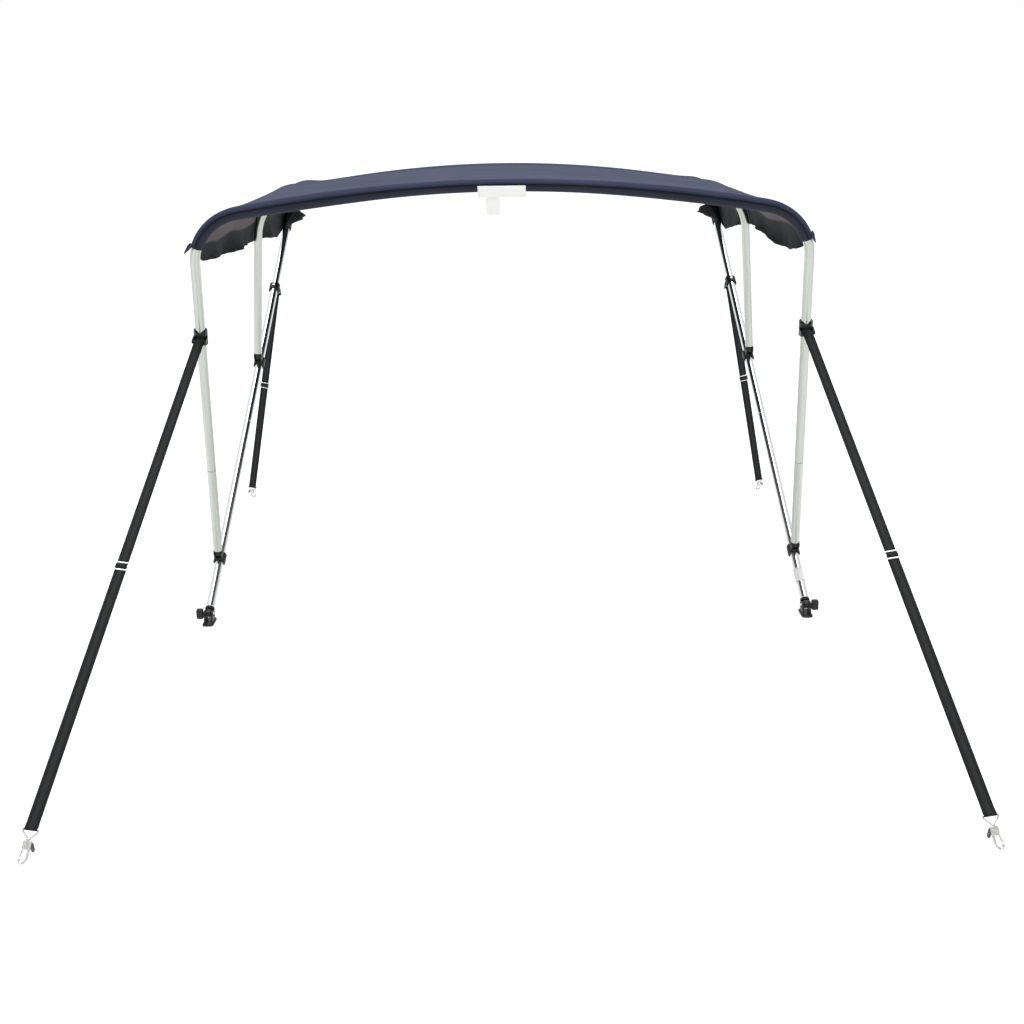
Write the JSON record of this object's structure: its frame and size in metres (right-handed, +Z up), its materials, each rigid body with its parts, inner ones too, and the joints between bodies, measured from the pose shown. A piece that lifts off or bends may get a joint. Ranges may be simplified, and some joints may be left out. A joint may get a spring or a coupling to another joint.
{
  "type": "bimini top with bow frame",
  "caption": "Opened boat sun top: a navy cloth canopy over hinged tubular bows, held by webbing straps with snap hooks and standing on deck hinges.",
  "frame": {"origin": "on the floor, under the middle of the whole opened top", "axes": "+X to the right seen from the front, +Y to the back, +Z up"},
  "size_m": [1.9198, 2.7886, 1.2189],
  "materials": {
    "navy_cloth": "matt coated weave",
    "satin_tube": "satin",
    "polished_tube": "polished",
    "black_nylon": "moulded, half matt",
    "webbing": "ribbed weave",
    "bright_steel": "bright",
    "blank_label": "smooth, blank"
  },
  "bodies": {
    "frame": {"canopy": "navy_cloth", "front_bow": "satin_tube", "hem_label_narrow": "blank_label", "hem_label_wide": "blank_label", "left_deck_hinge": "black_nylon", "left_front_bow_end": "black_nylon", "left_front_hook_trigger": "black_nylon", "left_front_leg": "satin_tube", "left_front_snap_hook": "bright_steel", "left_front_strap": "webbing", "left_front_strap_slide": "black_nylon", "left_front_tri_glide": "bright_steel", "left_lower_jaw_slide": "black_nylon", "left_main_bow_end": "black_nylon", "left_main_leg": "polished_tube", "left_middle_bow_end": "black_nylon", "left_middle_jaw_slide": "black_nylon", "left_rear_hook_trigger": "black_nylon", "left_rear_snap_hook": "bright_steel", "left_rear_strap": "webbing", "left_rear_strap_slide": "black_nylon", "left_rear_tri_glide": "bright_steel", "left_sleeve_tab": "navy_cloth", "leg_wrap_label": "blank_label", "main_bow": "polished_tube", "middle_bow": "satin_tube", "middle_bow_sleeve": "navy_cloth", "right_deck_hinge": "black_nylon", "right_front_bow_end": "black_nylon", "right_front_hook_trigger": "black_nylon", "right_front_leg": "satin_tube", "right_front_snap_hook": "bright_steel", "right_front_strap": "webbing", "right_front_strap_slide": "black_nylon", "right_front_tri_glide": "bright_steel", "right_lower_jaw_slide": "black_nylon", "right_main_bow_end": "black_nylon", "right_main_leg": "polished_tube", "right_middle_bow_end": "black_nylon", "right_middle_jaw_slide": "black_nylon", "right_rear_hook_trigger": "black_nylon", "right_rear_snap_hook": "bright_steel", "right_rear_strap": "webbing", "right_rear_strap_slide": "black_nylon", "right_rear_tri_glide": "bright_steel", "right_sleeve_tab": "navy_cloth"},
    "right_knob": {"right_hinge_knob": "black_nylon"},
    "left_knob": {"left_hinge_knob": "black_nylon"}
  },
  "joints": [
    {"name": "right_knob_turn", "type": "hinge", "parent": "frame", "child": "right_knob", "pos_m": [0.84, -0.1246, 0.028], "axis": [1, 0, 0], "continuous": true},
    {"name": "left_knob_turn", "type": "hinge", "parent": "frame", "child": "left_knob", "pos_m": [-0.84, -0.1246, 0.028], "axis": [1, 0, 0], "continuous": true}
  ]
}
